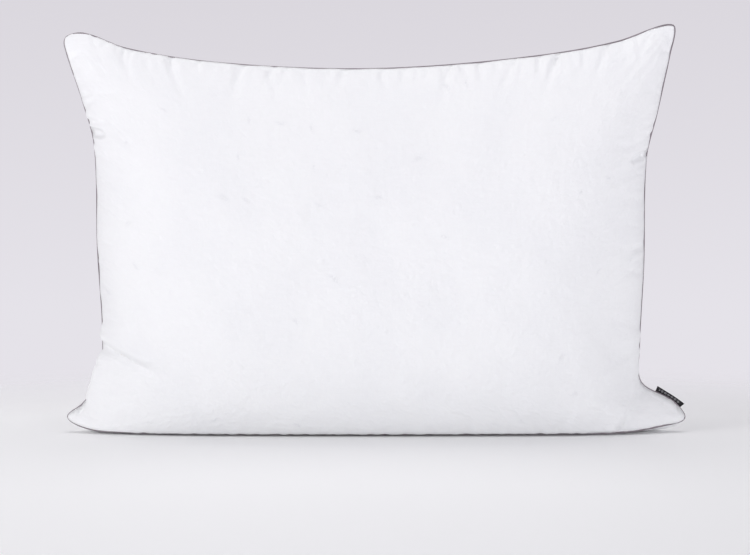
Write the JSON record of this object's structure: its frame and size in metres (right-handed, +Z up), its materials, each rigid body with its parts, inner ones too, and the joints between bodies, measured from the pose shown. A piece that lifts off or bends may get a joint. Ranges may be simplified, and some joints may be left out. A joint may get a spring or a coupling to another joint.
{
  "type": "bed pillow",
  "caption": "Feather and down bed pillow in a white cotton shell with grey piping, standing on one long edge.",
  "frame": {"origin": "bottom centre of the whole pillow, on the floor it stands on", "axes": "+X along the pillow, -Y out of its front face, +Z up"},
  "size_m": [0.7411, 0.1866, 0.4847],
  "materials": {
    "cambric": "fine plain-weave cotton with a slight sheen",
    "down": "loose feathers and down",
    "bias_tape": "satin bias strip",
    "cord": "twisted cotton",
    "thread": "polyester sewing thread",
    "label_black": "damask-woven tape",
    "label_white": "soft satin ribbon"
  },
  "bodies": {
    "root": {"front_panel": "cambric", "back_panel": "cambric", "down_fill": "down", "piping_cover": "bias_tape", "piping_cord": "cord", "needle_thread": "thread", "bobbin_thread": "thread", "overlock_stitch": "thread", "closing_stitch": "thread", "woven_label": "label_black", "care_label": "label_white"}
  },
  "joints": []
}
